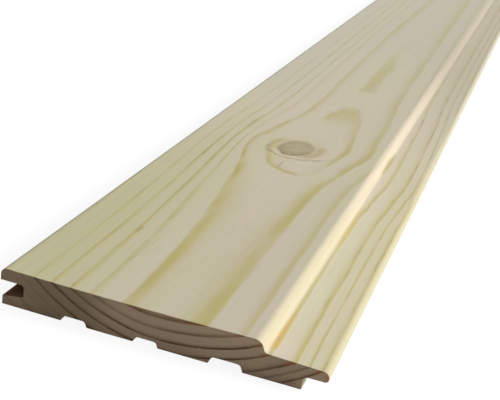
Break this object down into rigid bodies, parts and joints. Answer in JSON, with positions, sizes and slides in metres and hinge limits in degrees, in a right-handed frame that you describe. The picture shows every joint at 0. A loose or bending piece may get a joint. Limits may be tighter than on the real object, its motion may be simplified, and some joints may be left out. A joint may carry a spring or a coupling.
{
  "type": "tongue and groove board",
  "caption": "Planed softwood tongue and groove board with a rounded step beside its tongue and relief grooves along its back.",
  "frame": {"origin": "middle of the rectangle that the board covers, at the level of its back", "axes": "+X across the board towards the tongue, +Y along its length, +Z out of the show face"},
  "size_m": [0.121, 1.8, 0.014],
  "materials": {
    "pine": "bare planed softwood, matt, with plain sawn ends"
  },
  "bodies": {
    "root": {"board": "pine"}
  },
  "joints": []
}
